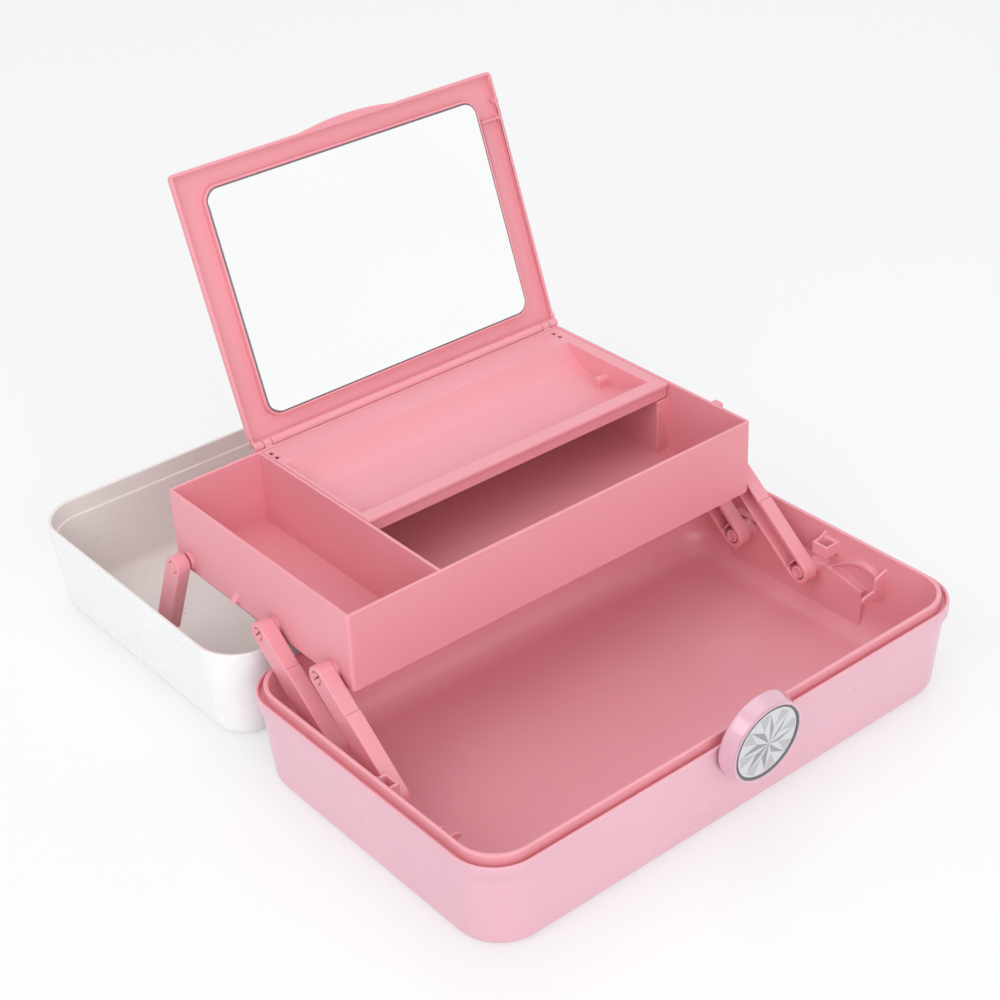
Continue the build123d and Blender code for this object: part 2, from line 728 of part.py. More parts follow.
# ================= mirror lid, leaning back behind the tray
lean = radians(mirror_lean)
mirror_plane = Plane(
    (0, mirror_y, mirror_z), x_dir=(1, 0, 0), z_dir=(0, -cos(lean), sin(lean))
)
mirror_w = mirror_right - mirror_left
mirror_cx = (mirror_left + mirror_right) / 2
plateau_w = mirror_w - 2 * (frame_lip + channel_width)
plateau_h = mirror_height - 2 * frame_lip - channel_bottom - channel_top
plateau_cy = frame_lip + channel_bottom + plateau_h / 2
glass_w = plateau_w - 2 * glass_rim
glass_h = plateau_h - 2 * glass_rim
tab_x = mirror_cx + tab_offset
with BuildPart() as mirror_frame:
    with BuildSketch(mirror_plane):
        with Locations((mirror_cx, mirror_height / 2)):
            Rectangle(mirror_w, mirror_height)
    extrude(amount=-mirror_thickness)
    upright = mirror_frame.edges().filter_by(Axis((0, 0, 0), mirror_plane.z_dir))
    fillet(upright, frame_corner)
    chamfer(mirror_frame.edges().filter_by(Axis.X).sort_by(Axis.Y)[-1], back_chamfer)
    # channel round the glass
    with BuildSketch(mirror_plane.offset(-channel_depth)):
        with Locations((mirror_cx, mirror_height / 2)):
            Rectangle(mirror_w - 2 * frame_lip, mirror_height - 2 * frame_lip)
        with Locations((mirror_cx, plateau_cy)):
            RectangleRounded(
                plateau_w, plateau_h, glass_radius + glass_rim, mode=Mode.SUBTRACT
            )
    extrude(amount=channel_depth, mode=Mode.SUBTRACT)
    # seat of the glass
    with BuildSketch(mirror_plane.offset(-glass_thickness - 0.1)):
        with Locations((mirror_cx, plateau_cy)):
            RectangleRounded(glass_w, glass_h, glass_radius)
    extrude(amount=glass_thickness + 0.1, mode=Mode.SUBTRACT)
    # cross rib in the right channel
    with BuildSketch(mirror_plane.offset(-channel_depth)):
        with Locations(
            (mirror_right - frame_lip - channel_width / 2, mirror_height - rib_drop)
        ):
            Rectangle(channel_width + 0.4, 1.6)
    extrude(amount=channel_depth - 0.8)
    # thumb tab on the top edge
    with BuildSketch(mirror_plane):
        with BuildLine():
            ThreePointArc(
                (tab_x - tab_width / 2, mirror_height - 0.4),
                (tab_x, mirror_height + tab_rise),
                (tab_x + tab_width / 2, mirror_height - 0.4),
            )
            Line(
                (tab_x + tab_width / 2, mirror_height - 0.4),
                (tab_x - tab_width / 2, mirror_height - 0.4),
            )
        make_face()
    extrude(amount=-tab_thickness)
    # snap bump on the right edge
    with BuildSketch(mirror_plane.offset(-1.0)):
        with Locations((mirror_right - 1.1, snap_height)):
            Circle(2.0)
    extrude(amount=-3)
    # round bead along the lower edge, about the axis of the hinge
    bead_from = mirror_left + ear_inset + ear_width / 2 + panel_clearance
    bead_to = mirror_right - ear_inset - ear_width / 2 - panel_clearance
    with BuildSketch(Plane.YZ.offset(bead_from)):
        with Locations((mirror_y, mirror_z)):
            Circle(ear_radius)
    extrude(amount=bead_to - bead_from)
    # slots for the ears of the tray
    for x in (mirror_left + ear_inset, mirror_right - ear_inset):
        with BuildSketch(Plane.YZ.offset(x - ear_width / 2 - panel_clearance)):
            with Locations((mirror_y, mirror_z)):
                Circle(ear_radius + 0.6)
        extrude(amount=ear_width + 2 * panel_clearance, mode=Mode.SUBTRACT)
        for side in (-1, 1):
            start = x + side * (ear_width / 2 + panel_clearance + ear_lug / 2) - ear_lug / 2
            with BuildSketch(Plane.YZ.offset(start)):
                with Locations((mirror_y, mirror_z)):
                    Circle(ear_radius)
            extrude(amount=ear_lug)
        reach = ear_width / 2 + panel_clearance + ear_lug
        with BuildSketch(Plane.YZ.offset(x - reach)):
            with Locations((mirror_y, mirror_z)):
                Circle(ear_pin_radius + pin_fit)
        extrude(amount=2 * reach, mode=Mode.SUBTRACT)
mirror_frame.part.label = "mirror_frame"
export_step(mirror_frame.part, "parts/mirror_frame.step")

with BuildPart() as mirror_glass:
    with BuildSketch(mirror_plane.offset(-glass_thickness)):
        with Locations((mirror_cx, plateau_cy)):
            RectangleRounded(
                glass_w - 2 * glass_clearance,
                glass_h - 2 * glass_clearance,
                glass_radius - glass_clearance,
            )
    extrude(amount=glass_thickness)
mirror_glass.part.label = "mirror_glass"
export_step(mirror_glass.part, "parts/mirror_glass.step")

with BuildPart() as mirror_hinge_pins:
    for x in (mirror_left + ear_inset, mirror_right - ear_inset):
        reach = ear_width / 2 + panel_clearance + ear_lug
        with BuildSketch(Plane.YZ.offset(x - reach)):
            with Locations((mirror_y, mirror_z)):
                Circle(ear_pin_radius)
        extrude(amount=2 * reach)
mirror_hinge_pins.part.label = "mirror_hinge_pins"
export_step(mirror_hinge_pins.part, "parts/mirror_hinge_pins.step")


# ================= the four arms: pan sections, open towards the tray
def swing_arm(root_y):
    """Right-hand arm that turns on the base at root_y."""
    plane = Plane(
        (arm_in, root_y, arm_pivot_z), x_dir=(0, arm_dir[0], arm_dir[1]), z_dir=(1, 0, 0)
    )
    with BuildPart() as arm:
        with BuildSketch(plane):
            with Locations((arm_length / 2, 0)):
                SlotCenterToCenter(arm_length, 2 * arm_half)
            with Locations((arm_step_at / 2, 0)):
                Rectangle(arm_step_at, 2 * (arm_half + arm_step))
            Circle(arm_half + arm_step)
        extrude(amount=arm_thickness)
        with BuildSketch(plane):
            with Locations((arm_length / 2, 0)):
                SlotCenterToCenter(arm_length, 2 * (arm_half - arm_skin))
            with Locations((arm_rib_at, 0)):
                Rectangle(1.2, 2 * arm_half, mode=Mode.SUBTRACT)
            with Locations((arm_length, 0)):
                Circle(pin_radius + hub_wall, mode=Mode.SUBTRACT)
            Circle(pin_radius + hub_wall, mode=Mode.SUBTRACT)
        extrude(amount=arm_thickness - arm_skin, mode=Mode.SUBTRACT)
        with BuildSketch(plane):
            Circle(pin_radius + pin_fit)
            with Locations((arm_length, 0)):
                Circle(pin_radius + pin_fit)
        extrude(amount=arm_thickness, mode=Mode.SUBTRACT)
        with BuildSketch(plane.offset(arm_thickness - head_length - 0.2)):
            with Locations((arm_length, 0)):
                Circle(head_radius + 0.4)
        extrude(amount=head_length + 0.2, mode=Mode.SUBTRACT)
    return arm.part


with BuildPart() as front_arm_right:
    add(swing_arm(arm_pivot_y))
front_arm_right.part.label = "front_arm_right"
export_step(front_arm_right.part, "parts/front_arm_right.step")

with BuildPart() as front_arm_left:
    mirror(front_arm_right.part, about=Plane.YZ)
front_arm_left.part.label = "front_arm_left"
export_step(front_arm_left.part, "parts/front_arm_left.step")

with BuildPart() as rear_arm_right:
    add(swing_arm(arm_pivot_y + pin_spacing))
rear_arm_right.part.label = "rear_arm_right"
export_step(rear_arm_right.part, "parts/rear_arm_right.step")

with BuildPart() as rear_arm_left:
    mirror(rear_arm_right.part, about=Plane.YZ)
rear_arm_left.part.label = "rear_arm_left"
export_step(rear_arm_left.part, "parts/rear_arm_left.step")

# ================= links from the lid up to the rear of the tray
link_plane = Plane(
    (link_in, lid_pin_y, lid_pin_z), x_dir=(0, -link_dir[0], -link_dir[1]), z_dir=(1, 0, 0)
)
link_depth = arm_out - link_in
with BuildPart() as lid_link_right:
    with BuildSketch(link_plane):
        with Locations((link_length / 2, 0)):
            SlotCenterToCenter(link_length, 2 * link_half)
    extrude(amount=link_depth)
    with BuildSketch(link_plane):
        with Locations((link_length / 2, 0)):
            SlotCenterToCenter(link_length, 2 * (link_half - arm_skin))
        with Locations((link_length, 0)):
            Circle(pin_radius + hub_wall, mode=Mode.SUBTRACT)
        Circle(pin_radius + hub_wall, mode=Mode.SUBTRACT)
    extrude(amount=link_depth - arm_skin, mode=Mode.SUBTRACT)
    with BuildSketch(link_plane):
        Circle(pin_radius + pin_fit)
    extrude(amount=link_depth, mode=Mode.SUBTRACT)
    # ring of the upper pivot on the outer face
    with BuildSketch(link_plane.offset(link_depth - head_length)):
        with Locations((link_length, 0)):
            Circle(head_radius + 0.4)
            Circle(head_radius, mode=Mode.SUBTRACT)
    extrude(amount=head_length, mode=Mode.SUBTRACT)
lid_link_right.part.label = "lid_link_right"
export_step(lid_link_right.part, "parts/lid_link_right.step")

with BuildPart() as lid_link_left:
    mirror(lid_link_right.part, about=Plane.YZ)
lid_link_left.part.label = "lid_link_left"
export_step(lid_link_left.part, "parts/lid_link_left.step")

with BuildPart() as lid_link_pins:
    for side in (-1, 1):
        with BuildSketch(
            Plane((side * (link_in + 0.4), 0, 0), x_dir=(0, 1, 0), z_dir=(side, 0, 0))
        ):
            with Locations((lid_pin_y, side * lid_pin_z)):
                Circle(pin_radius)
        extrude(amount=boss_face + 6 - link_in - 0.4)
lid_link_pins.part.label = "lid_link_pins"
export_step(lid_link_pins.part, "parts/lid_link_pins.step")

# ================= round latch on the front
tilt = radians(latch_tilt)
latch_plane = Plane(
    (0, latch_y, latch_pivot_z), x_dir=(1, 0, 0), z_dir=(0, -cos(tilt), -sin(tilt))
)
latch_back = -(latch_pivot_out - latch_back_gap)
latch_front = latch_back + latch_thickness
catch_up = catch_z - latch_pivot_z
with BuildPart() as latch_body:
    with BuildSketch(latch_plane.offset(latch_back)):
        with Locations((0, latch_rise)):
            Circle(latch_radius + latch_flare)
    extrude(
        amount=latch_thickness, taper=degrees(atan(latch_flare / latch_thickness))
    )
    # pocket for the ear and for the catch ridge
    with BuildSketch(latch_plane.offset(latch_back)):
        with Locations((0, catch_up / 2 - 4)):
            Rectangle(latch_ear_width + 2 * panel_clearance, catch_up + 8)
        with Locations((0, catch_up)):
            Rectangle(catch_width + 3, 7.5)
    extrude(amount=latch_thickness - latch_skin - ring_depth, mode=Mode.SUBTRACT)
    # hook above the ridge
    with BuildSketch(latch_plane.offset(latch_back - hook_reach + 1.4)):
        with Locations((0, catch_up + catch_height + 0.9 + hook_height / 2)):
            Rectangle(catch_width - 4, hook_height)
    extrude(amount=hook_reach + 1)
    # seat of the ring and the disc
    with BuildSketch(latch_plane.offset(latch_front - ring_depth)):
        with Locations((0, latch_rise)):
            Circle(ring_radius + 0.1)
    extrude(amount=ring_depth, mode=Mode.SUBTRACT)
    with BuildSketch(Plane.YZ.offset(-20)):
        with Locations((latch_y, latch_pivot_z)):
            Circle(latch_pin_radius + pin_fit)
    extrude(amount=40, mode=Mode.SUBTRACT)
latch_body.part.label = "latch_body"
export_step(latch_body.part, "parts/latch_body.step")

with BuildPart() as latch_ring:
    with BuildSketch(latch_plane.offset(latch_front - ring_depth)):
        with Locations((0, latch_rise)):
            Circle(ring_radius)
            Circle(ring_radius - ring_width, mode=Mode.SUBTRACT)
    extrude(amount=ring_depth)
latch_ring.part.label = "latch_ring"
export_step(latch_ring.part, "parts/latch_ring.step")

with BuildPart() as latch_disc:
    with BuildSketch(latch_plane.offset(latch_front - ring_depth)):
        with Locations((0, latch_rise)):
            Circle(ring_radius - ring_width - 0.1)
    extrude(amount=disc_thickness)
latch_disc.part.label = "latch_disc"
export_step(latch_disc.part, "parts/latch_disc.step")

with BuildPart() as latch_pin:
    with BuildSketch(Plane.YZ.offset(-latch_ear_width / 2 - latch_cheek)):
        with Locations((latch_y, latch_pivot_z)):
            Circle(latch_pin_radius)
    extrude(amount=latch_ear_width + 2 * latch_cheek)
latch_pin.part.label = "latch_pin"
export_step(latch_pin.part, "parts/latch_pin.step")

# ================= folding handle in the top of the lid
handle_side = (well_width - handle_width) / 2
with BuildPart() as carry_handle:
    with BuildSketch(Plane((0, pivot_y, pivot_z - handle_thickness / 2))):
        with Locations((0, (handle_thickness / 2 - handle_reach) / 2)):
            RectangleRounded(handle_width, handle_reach + handle_thickness / 2, 2.5)
        with Locations((0, (handle_thickness - handle_reach + handle_bar) / 2)):
            RectangleRounded(
                handle_width - 2 * handle_leg, handle_reach - handle_bar + handle_thickness, 2.4,
                mode=Mode.SUBTRACT,
            )
    extrude(amount=handle_thickness)
    fillet(carry_handle.edges().group_by(Axis.Y)[-1].filter_by(Axis.X), handle_thickness * 0.45)
    with BuildSketch(Plane.YZ.offset(-handle_width / 2)):
        with Locations((pivot_y, pivot_z)):
            Circle(handle_pin_radius + pin_fit)
    extrude(amount=handle_width, mode=Mode.SUBTRACT)
carry_handle.part.label = "carry_handle"
export_step(carry_handle.part, "parts/carry_handle.step")

with BuildPart() as handle_pins:
    for side in (-1, 1):
        start = handle_width / 2 - handle_leg
        with BuildSketch(Plane((side * start, 0, 0), x_dir=(0, 1, 0), z_dir=(side, 0, 0))):
            with Locations((pivot_y, side * pivot_z)):
                Circle(handle_pin_radius)
        extrude(amount=handle_leg + handle_side + lid_panel)
handle_pins.part.label = "handle_pins"
export_step(handle_pins.part, "parts/handle_pins.step")

print("lid hinge", hinge_y, hinge_z, "lid centre", lid_y)
print("arm pivots", arm_pivot_y, arm_pivot_z, "pins", front_pin_y, front_pin_z)
print("tray", tray_front, tray_rear, tray_bottom, tray_top, "x", tray_x)
print("mirror hinge", mirror_y, mirror_z, "x", mirror_left, mirror_right)
print("link", link_pin_y, link_pin_z, "lid pin", lid_pin_y, lid_pin_z)
print("latch pivot", latch_y, latch_pivot_z, "handle pivot", pivot_y, pivot_z)
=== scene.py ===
import bpy
import bmesh
import json
from math import cos, pi, radians, sin, sqrt
from mathutils import Matrix, Vector
from mathutils.bvhtree import BVHTree


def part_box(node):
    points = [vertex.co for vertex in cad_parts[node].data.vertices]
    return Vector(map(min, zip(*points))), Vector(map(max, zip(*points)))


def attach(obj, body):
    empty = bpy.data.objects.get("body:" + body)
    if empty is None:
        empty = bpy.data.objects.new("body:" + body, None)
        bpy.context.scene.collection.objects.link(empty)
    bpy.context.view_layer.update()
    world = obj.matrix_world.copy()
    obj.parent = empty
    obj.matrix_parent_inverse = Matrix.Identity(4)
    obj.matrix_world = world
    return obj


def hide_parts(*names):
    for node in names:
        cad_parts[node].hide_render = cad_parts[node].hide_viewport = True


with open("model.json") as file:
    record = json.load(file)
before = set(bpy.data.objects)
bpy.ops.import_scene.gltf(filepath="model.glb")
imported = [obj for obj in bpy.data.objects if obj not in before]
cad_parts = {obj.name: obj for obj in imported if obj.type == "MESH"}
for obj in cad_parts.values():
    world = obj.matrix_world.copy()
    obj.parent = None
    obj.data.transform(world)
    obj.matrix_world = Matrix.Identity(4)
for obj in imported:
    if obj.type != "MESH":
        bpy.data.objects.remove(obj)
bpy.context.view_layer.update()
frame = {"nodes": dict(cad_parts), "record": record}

nodes = frame["nodes"]
scene = bpy.context.scene
scene.view_settings.view_transform = "Standard"


# ---------------------------------------------------------------- camera
SENSOR = 36.0
FOCAL_PIXELS = 2057.2
PHOTO_PIXELS = 1000.0
CAMERA_DISTANCE = 1.174


def aim_camera():
    """The photograph's view: from the front left, looking down a little."""
    azimuth, height, roll = radians(-38.46), radians(31.78), radians(-2.59)
    target = Vector((0.04047, 0.13677, 0.060))
    back = Vector((sin(azimuth) * cos(height), -cos(azimuth) * cos(height), sin(height)))
    right = (-back).cross(Vector((0, 0, 1))).normalized()
    up = right.cross(-back)
    side = right * cos(roll) + up * sin(roll)
    top = up * cos(roll) - right * sin(roll)
    lens = bpy.data.cameras.new("view")
    lens.sensor_width = SENSOR
    lens.lens = SENSOR * FOCAL_PIXELS / PHOTO_PIXELS
    lens.clip_end = 20.0
    camera = bpy.data.objects.new("view", lens)
    scene.collection.objects.link(camera)
    turned = Matrix((side, top, back)).transposed().to_4x4()
    camera.matrix_world = Matrix.Translation(target + back * CAMERA_DISTANCE) @ turned
    scene.camera = camera


aim_camera()


# ---------------------------------------------------------------- node helpers
def new_material(name):
    made = bpy.data.materials.new(name)
    made.use_nodes = True
    tree = made.node_tree
    shader = tree.nodes["Principled BSDF"]
    return made, tree, shader


def put(tree, kind, **values):
    """One node, with its properties and the values of its inputs."""
    node = tree.nodes.new(kind)
    for key, value in values.items():
        if hasattr(node, key):
            setattr(node, key, value)
        else:
            node.inputs[key.replace("_", " ")].default_value = value
    return node


def sums(tree, operation, a, b=None, c=None, clamp=False):
    """A Math node fed by sockets or plain numbers."""
    node = tree.nodes.new("ShaderNodeMath")
    node.operation = operation
    node.use_clamp = clamp
    for i, value in enumerate((a, b, c)):
        if value is None:
            continue
        if isinstance(value, (int, float)):
            node.inputs[i].default_value = value
        else:
            tree.links.new(value, node.inputs[i])
    return node.outputs[0]


def tint(tree, share, low, high):
    """Mixes two colours by a mask."""
    node = tree.nodes.new("ShaderNodeMix")
    node.data_type = "RGBA"
    for socket, value in ((node.inputs[0], share), (node.inputs[6], low), (node.inputs[7], high)):
        if isinstance(value, (int, float)):
            socket.default_value = value
        elif isinstance(value, tuple):
            socket.default_value = (*value, 1.0)
        else:
            tree.links.new(value, socket)
    return node.outputs[2]


def ramp(tree, value, low, high, out_low=0.0, out_high=1.0):
    """Stretches a value between two limits onto two others."""
    node = tree.nodes.new("ShaderNodeMapRange")
    node.clamp = True
    tree.links.new(value, node.inputs[0])
    for i, limit in enumerate((low, high, out_low, out_high), 1):
        node.inputs[i].default_value = limit
    return node.outputs[0]


# ---------------------------------------------------------------- shared effects
def build_moulded_grain():
    """Fine grain of a moulded plastic: height, a soft colour drift and a gloss drift."""
    group = bpy.data.node_groups.new("moulded grain", "ShaderNodeTree")
    face = group.interface
    for name, start in (("Grain Size", 900.0), ("Drift Size", 9.0), ("Flow", 0.35)):
        socket = face.new_socket(name, in_out="INPUT", socket_type="NodeSocketFloat")
        socket.default_value = start
    for name in ("Height", "Drift", "Gloss"):
        face.new_socket(name, in_out="OUTPUT", socket_type="NodeSocketFloat")
    given = group.nodes.new("NodeGroupInput")
    out = group.nodes.new("NodeGroupOutput")
    place = group.nodes.new("ShaderNodeTexCoord").outputs["Object"]
    fine = put(group, "ShaderNodeTexNoise", Detail=3.0, Roughness=0.6)
    cells = put(group, "ShaderNodeTexVoronoi", feature="SMOOTH_F1")
    wide = put(group, "ShaderNodeTexNoise", Detail=2.0, Roughness=0.45, Distortion=0.6)
    gloss = put(group, "ShaderNodeTexNoise", Detail=4.0, Roughness=0.7, Distortion=0.2)
    for node in (fine, cells, wide, gloss):
        group.links.new(place, node.inputs["Vector"])
    group.links.new(given.outputs["Grain Size"], fine.inputs["Scale"])
    cell_size = sums(group, "MULTIPLY", given.outputs["Grain Size"], 0.62)
    group.links.new(cell_size, cells.inputs["Scale"])
    group.links.new(given.outputs["Drift Size"], wide.inputs["Scale"])
    gloss_size = sums(group, "MULTIPLY", given.outputs["Drift Size"], 4.0)
    group.links.new(gloss_size, gloss.inputs["Scale"])
    peel = sums(group, "MULTIPLY", cells.outputs["Distance"], 0.6)
    flow = sums(group, "MULTIPLY", wide.outputs["Fac"], given.outputs["Flow"])
    height = sums(group, "ADD", sums(group, "ADD", fine.outputs["Fac"], peel), flow)
    group.links.new(height, out.inputs["Height"])
    group.links.new(wide.outputs["Fac"], out.inputs["Drift"])
    group.links.new(gloss.outputs["Fac"], out.inputs["Gloss"])
    return group


def build_handling_wear():
    """Fine scuffs and a little dust from use: a mask of hairlines and one of dust."""
    group = bpy.data.node_groups.new("handling wear", "ShaderNodeTree")
    face = group.interface
    face.new_socket("Amount", in_out="INPUT", socket_type="NodeSocketFloat").default_value = 0.3
    face.new_socket("Scuffs", in_out="OUTPUT", socket_type="NodeSocketFloat")
    face.new_socket("Dust", in_out="OUTPUT", socket_type="NodeSocketFloat")
    given = group.nodes.new("NodeGroupInput")
    out = group.nodes.new("NodeGroupOutput")
    place = group.nodes.new("ShaderNodeTexCoord").outputs["Object"]
    turn = put(group, "ShaderNodeMapping")
    turn.inputs["Rotation"].default_value = (0.5, 0.35, 0.8)
    turn.inputs["Scale"].default_value = (14.0, 420.0, 160.0)
    group.links.new(place, turn.inputs["Vector"])
    lines = put(group, "ShaderNodeTexNoise", Scale=1.0, Detail=2.0, Roughness=0.5)
    group.links.new(turn.outputs[0], lines.inputs["Vector"])
    where = put(group, "ShaderNodeTexNoise", Scale=16.0, Detail=3.0)
    group.links.new(place, where.inputs["Vector"])
    scuffs = sums(
        group, "MULTIPLY", ramp(group, lines.outputs["Fac"], 0.64, 0.72),
        ramp(group, where.outputs["Fac"], 0.48, 0.66),
    )
    group.links.new(
        sums(group, "MULTIPLY", scuffs, given.outputs["Amount"]), out.inputs["Scuffs"]
    )
    specks = put(group, "ShaderNodeTexVoronoi", Scale=520.0)
    group.links.new(place, specks.inputs["Vector"])
    spots = ramp(group, specks.outputs["Distance"], 0.10, 0.22, 1.0, 0.0)
    group.links.new(
        sums(group, "MULTIPLY", spots, given.outputs["Amount"], clamp=True), out.inputs["Dust"]
    )
    return group


moulded_grain = build_moulded_grain()
handling_wear = build_handling_wear()


def effect(tree, group, **values):
    node = tree.nodes.new("ShaderNodeGroup")
    node.node_tree = group
    for key, value in values.items():
        node.inputs[key.replace("_", " ")].default_value = value
    return node.outputs


def raise_bump(tree, shader, height, strength, distance):
    bump = put(tree, "ShaderNodeBump", Strength=strength, Distance=distance)
    tree.links.new(height, bump.inputs["Height"])
    tree.links.new(bump.outputs[0], shader.inputs["Normal"])


# ---------------------------------------------------------------- finishes
GRAIN_DEPTH = 0.00012


def plastic(
    name, deep, pale, rough, grain, drift, wear, soft=0.08, coat=0.0, relief=0.22
):
    """A pigmented moulded plastic, a little translucent, with its grain and wear."""
    made, tree, shader = new_material(name)
    skin = effect(tree, moulded_grain, Grain_Size=grain, Drift_Size=drift)
    use = effect(tree, handling_wear, Amount=wear)
    body = tint(tree, ramp(tree, skin["Drift"], 0.3, 0.7), deep, pale)
    lighter = tuple(min(1.0, v * 0.7 + 0.3) for v in pale)
    worn = tint(tree, sums(tree, "MULTIPLY", use["Scuffs"], 0.5), body, lighter)
    dusty = tint(tree, sums(tree, "MULTIPLY", use["Dust"], 0.06), worn, lighter)
    tree.links.new(dusty, shader.inputs["Base Color"])
    base = ramp(tree, skin["Gloss"], 0.25, 0.75, rough - 0.05, rough + 0.05)
    tree.links.new(
        sums(tree, "ADD", base, sums(tree, "MULTIPLY", use["Scuffs"], 0.25)),
        shader.inputs["Roughness"],
    )
    shader.inputs["IOR"].default_value = 1.5
    shader.inputs["Subsurface Weight"].default_value = soft
    shader.inputs["Subsurface Radius"].default_value = (0.012, 0.004, 0.004)
    shader.inputs["Subsurface Scale"].default_value = 0.3
    shader.inputs["Coat Weight"].default_value = coat
    shader.inputs["Coat Roughness"].default_value = 0.12
    raise_bump(tree, shader, skin["Height"], relief, GRAIN_DEPTH)
    return made


rose = plastic(
    "rose moulded plastic", (0.80, 0.320, 0.370), (0.84, 0.360, 0.410),
    rough=0.42, grain=1500, drift=7, wear=0.35,
)
rose_inside = plastic(
    "rose inside of the base", (0.80, 0.345, 0.395), (0.84, 0.380, 0.435),
    rough=0.36, grain=1200, drift=6, wear=0.4, coat=0.12,
)
mauve_shell = plastic(
    "mauve rose shell plastic", (0.74, 0.41, 0.49), (0.79, 0.45, 0.53),
    rough=0.30, grain=600, drift=6, wear=0.05, soft=0.04, coat=0.3, relief=0.05,
)
rose_gloss = plastic(
    "rose polished plastic", (0.70, 0.40, 0.50), (0.75, 0.44, 0.54),
    rough=0.16, grain=2200, drift=8, wear=0.2, coat=0.8,
)
pearl_outside = plastic(
    "pearl white lid plastic", (0.86, 0.872, 0.885), (0.90, 0.905, 0.91),
    rough=0.26, grain=600, drift=8, wear=0.05, soft=0.04, coat=0.35, relief=0.05,
)


def flecked_inside():
    """The lid's inside: warm pale grey with fine darker flecks in the plastic."""
    made, tree, shader = new_material("flecked inside of the lid")
    place = put(tree, "ShaderNodeTexCoord").outputs["Object"]
    skin = effect(tree, moulded_grain, Grain_Size=1100.0, Drift_Size=8.0)
    use = effect(tree, handling_wear, Amount=0.5)
    drift = ramp(tree, skin["Drift"], 0.3, 0.7)
    warm = tint(tree, drift, (0.80, 0.775, 0.75), (0.85, 0.83, 0.805))
    fleck = put(tree, "ShaderNodeTexVoronoi", Scale=150.0)
    tree.links.new(place, fleck.inputs["Vector"])
    pick = put(tree, "ShaderNodeTexNoise", Scale=60.0, Detail=1.0)
    tree.links.new(place, pick.inputs["Vector"])
    dots = sums(
        tree, "MULTIPLY", ramp(tree, fleck.outputs["Distance"], 0.06, 0.16, 1.0, 0.0),
        ramp(tree, pick.outputs["Fac"], 0.56, 0.66),
    )
    flecked = tint(tree, sums(tree, "MULTIPLY", dots, 0.4), warm, (0.50, 0.46, 0.42))
    tree.links.new(flecked, shader.inputs["Base Color"])
    base = ramp(tree, skin["Gloss"], 0.25, 0.75, 0.50, 0.62)
    tree.links.new(
        sums(tree, "ADD", base, sums(tree, "MULTIPLY", use["Scuffs"], 0.2)),
        shader.inputs["Roughness"],
    )
    raise_bump(tree, shader, skin["Height"], 0.18, GRAIN_DEPTH)
    return made


def silvered_glass():
    made, tree, shader = new_material("silvered mirror glass")
    skin = effect(tree, moulded_grain, Grain_Size=240.0, Drift_Size=5.0)
    use = effect(tree, handling_wear, Amount=0.6)
    drift = ramp(tree, skin["Drift"], 0.3, 0.7)
    silver = tint(tree, drift, (0.93, 0.945, 0.945), (0.955, 0.965, 0.965))
    tree.links.new(silver, shader.inputs["Base Color"])
    shader.inputs["Metallic"].default_value = 1.0
    haze = ramp(tree, skin["Gloss"], 0.35, 0.8, 0.012, 0.030)
    tree.links.new(
        sums(tree, "ADD", haze, sums(tree, "MULTIPLY", use["Scuffs"], 0.05)),
        shader.inputs["Roughness"],
    )
    raise_bump(tree, shader, skin["Drift"], 0.02, 0.0002)
    return made


def turned_metal(name, colour, rough, centre, rings):
    """Metal turned or brushed in circles about a centre on the front of the case."""
    made, tree, shader = new_material(name)
    place = put(tree, "ShaderNodeTexCoord").outputs["Object"]
    shift = put(tree, "ShaderNodeMapping", vector_type="POINT")
    shift.inputs["Location"].default_value = tuple(-v for v in centre)
    tree.links.new(place, shift.inputs["Vector"])
    split = put(tree, "ShaderNodeSeparateXYZ")
    tree.links.new(shift.outputs[0], split.inputs[0])
    square = sums(
        tree, "ADD", sums(tree, "MULTIPLY", split.outputs["X"], split.outputs["X"]),
        sums(tree, "MULTIPLY", split.outputs["Z"], split.outputs["Z"]),
    )
    radius = sums(tree, "SQRT", square)
    wave = put(tree, "ShaderNodeCombineXYZ")
    tree.links.new(sums(tree, "MULTIPLY", radius, rings), wave.inputs[0])
    lines = put(tree, "ShaderNodeTexNoise", Scale=1.0, Detail=3.0, Roughness=0.7)
    tree.links.new(wave.outputs[0], lines.inputs["Vector"])
    skin = effect(tree, moulded_grain, Grain_Size=1800.0, Drift_Size=40.0)
    dim = tuple(v * 0.86 for v in colour)
    tone = tint(tree, ramp(tree, lines.outputs["Fac"], 0.3, 0.7), dim, colour)
    tree.links.new(tone, shader.inputs["Base Color"])
    shader.inputs["Metallic"].default_value = 1.0
    tree.links.new(
        ramp(tree, lines.outputs["Fac"], 0.3, 0.7, rough - 0.05, rough + 0.08),
        shader.inputs["Roughness"],
    )
    height = sums(tree, "ADD", lines.outputs["Fac"], sums(tree, "MULTIPLY", skin["Height"], 0.15))
    raise_bump(tree, shader, height, 0.15, 0.0001)
    return made


